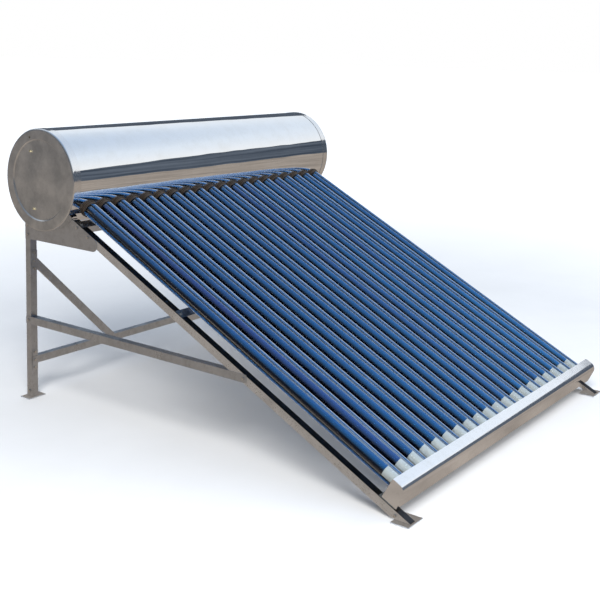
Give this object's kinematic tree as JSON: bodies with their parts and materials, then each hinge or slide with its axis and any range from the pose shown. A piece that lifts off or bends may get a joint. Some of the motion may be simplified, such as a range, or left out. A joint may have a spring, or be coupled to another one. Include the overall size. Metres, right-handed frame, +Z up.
{
  "type": "solar water heater",
  "caption": "Compact solar water heater: horizontal insulated tank on an angle-iron stand, fed by a sloping bank of double-wall evacuated glass tubes that slide in rubber seals.",
  "frame": {"origin": "on the ground, at the centre of the rectangle of four anchor-bolt holes in the feet", "axes": "+X along the tank towards the water ports, +Y from the tail of the tubes to the tank, +Z up"},
  "size_m": [1.653, 1.9366, 1.1182],
  "materials": {
    "polished_shell": "mirror-polished stainless steel sheet",
    "brushed_cap": "satin grey pressed steel",
    "polished_cover": "polished stainless steel sheet",
    "frame_steel": "satin stainless steel angle",
    "tank_steel": "plain stainless steel",
    "tube_glass": "clear borosilicate glass over a deep blue absorber coating",
    "insulation_foam": "rigid polyurethane foam",
    "black_rubber": "matte silicone rubber",
    "pale_plastic": "moulded nylon",
    "anode_magnesium": "cast magnesium",
    "bolt_steel": "zinc-plated steel"
  },
  "bodies": {
    "stand_and_tank": {"beam_gussets": "frame_steel", "beam_splice_plate": "frame_steel", "cold_inlet_nipple": "tank_steel", "cover_end_left": "polished_cover", "cover_end_right": "polished_cover", "cradle_left": "frame_steel", "cradle_right": "frame_steel", "dust_rings": "black_rubber", "end_cap_left": "brushed_cap", "end_cap_right": "brushed_cap", "foam_insulation": "insulation_foam", "frame_bolts": "bolt_steel", "frame_nuts": "bolt_steel", "front_foot_left": "frame_steel", "front_foot_right": "frame_steel", "hot_outlet_nipple": "tank_steel", "inner_head_left": "tank_steel", "inner_head_right": "tank_steel", "inner_tank": "tank_steel", "knee_brace_left": "frame_steel", "knee_brace_right": "frame_steel", "knee_gussets": "frame_steel", "magnesium_anode": "anode_magnesium", "middle_cross_beam": "frame_steel", "outer_shell": "polished_shell", "rail_left": "frame_steel", "rail_right": "frame_steel", "rear_beam_left": "frame_steel", "rear_beam_right": "frame_steel", "rear_foot_left": "frame_steel", "rear_foot_right": "frame_steel", "rear_leg_left": "frame_steel", "rear_leg_right": "frame_steel", "side_brace_left": "frame_steel", "side_brace_right": "frame_steel", "tail_cover": "polished_cover", "tail_cups": "pale_plastic", "tail_rail": "frame_steel", "tube_seals": "black_rubber", "upper_cross_beam": "frame_steel"},
    "tube_01": {"evacuated_tube_01": "tube_glass"},
    "tube_02": {"evacuated_tube_02": "tube_glass"},
    "tube_03": {"evacuated_tube_03": "tube_glass"},
    "tube_04": {"evacuated_tube_04": "tube_glass"},
    "tube_05": {"evacuated_tube_05": "tube_glass"},
    "tube_06": {"evacuated_tube_06": "tube_glass"},
    "tube_07": {"evacuated_tube_07": "tube_glass"},
    "tube_08": {"evacuated_tube_08": "tube_glass"},
    "tube_09": {"evacuated_tube_09": "tube_glass"},
    "tube_10": {"evacuated_tube_10": "tube_glass"},
    "tube_11": {"evacuated_tube_11": "tube_glass"},
    "tube_12": {"evacuated_tube_12": "tube_glass"},
    "tube_13": {"evacuated_tube_13": "tube_glass"},
    "tube_14": {"evacuated_tube_14": "tube_glass"},
    "tube_15": {"evacuated_tube_15": "tube_glass"},
    "tube_16": {"evacuated_tube_16": "tube_glass"},
    "tube_17": {"evacuated_tube_17": "tube_glass"},
    "tube_18": {"evacuated_tube_18": "tube_glass"},
    "tube_19": {"evacuated_tube_19": "tube_glass"},
    "tube_20": {"evacuated_tube_20": "tube_glass"}
  },
  "joints": [
    {"name": "tube_01_slide", "type": "slide", "parent": "stand_and_tank", "child": "tube_01", "axis": [0, 0.8988, 0.4384], "range_m": [0, 0.035]},
    {"name": "tube_02_slide", "type": "slide", "parent": "stand_and_tank", "child": "tube_02", "axis": [0, 0.8988, 0.4384], "range_m": [0, 0.035]},
    {"name": "tube_03_slide", "type": "slide", "parent": "stand_and_tank", "child": "tube_03", "axis": [0, 0.8988, 0.4384], "range_m": [0, 0.035]},
    {"name": "tube_04_slide", "type": "slide", "parent": "stand_and_tank", "child": "tube_04", "axis": [0, 0.8988, 0.4384], "range_m": [0, 0.035]},
    {"name": "tube_05_slide", "type": "slide", "parent": "stand_and_tank", "child": "tube_05", "axis": [0, 0.8988, 0.4384], "range_m": [0, 0.035]},
    {"name": "tube_06_slide", "type": "slide", "parent": "stand_and_tank", "child": "tube_06", "axis": [0, 0.8988, 0.4384], "range_m": [0, 0.035]},
    {"name": "tube_07_slide", "type": "slide", "parent": "stand_and_tank", "child": "tube_07", "axis": [0, 0.8988, 0.4384], "range_m": [0, 0.035]},
    {"name": "tube_08_slide", "type": "slide", "parent": "stand_and_tank", "child": "tube_08", "axis": [0, 0.8988, 0.4384], "range_m": [0, 0.035]},
    {"name": "tube_09_slide", "type": "slide", "parent": "stand_and_tank", "child": "tube_09", "axis": [0, 0.8988, 0.4384], "range_m": [0, 0.035]},
    {"name": "tube_10_slide", "type": "slide", "parent": "stand_and_tank", "child": "tube_10", "axis": [0, 0.8988, 0.4384], "range_m": [0, 0.035]},
    {"name": "tube_11_slide", "type": "slide", "parent": "stand_and_tank", "child": "tube_11", "axis": [0, 0.8988, 0.4384], "range_m": [0, 0.035]},
    {"name": "tube_12_slide", "type": "slide", "parent": "stand_and_tank", "child": "tube_12", "axis": [0, 0.8988, 0.4384], "range_m": [0, 0.035]},
    {"name": "tube_13_slide", "type": "slide", "parent": "stand_and_tank", "child": "tube_13", "axis": [0, 0.8988, 0.4384], "range_m": [0, 0.035]},
    {"name": "tube_14_slide", "type": "slide", "parent": "stand_and_tank", "child": "tube_14", "axis": [0, 0.8988, 0.4384], "range_m": [0, 0.035]},
    {"name": "tube_15_slide", "type": "slide", "parent": "stand_and_tank", "child": "tube_15", "axis": [0, 0.8988, 0.4384], "range_m": [0, 0.035]},
    {"name": "tube_16_slide", "type": "slide", "parent": "stand_and_tank", "child": "tube_16", "axis": [0, 0.8988, 0.4384], "range_m": [0, 0.035]},
    {"name": "tube_17_slide", "type": "slide", "parent": "stand_and_tank", "child": "tube_17", "axis": [0, 0.8988, 0.4384], "range_m": [0, 0.035]},
    {"name": "tube_18_slide", "type": "slide", "parent": "stand_and_tank", "child": "tube_18", "axis": [0, 0.8988, 0.4384], "range_m": [0, 0.035]},
    {"name": "tube_19_slide", "type": "slide", "parent": "stand_and_tank", "child": "tube_19", "axis": [0, 0.8988, 0.4384], "range_m": [0, 0.035]},
    {"name": "tube_20_slide", "type": "slide", "parent": "stand_and_tank", "child": "tube_20", "axis": [0, 0.8988, 0.4384], "range_m": [0, 0.035]}
  ]
}
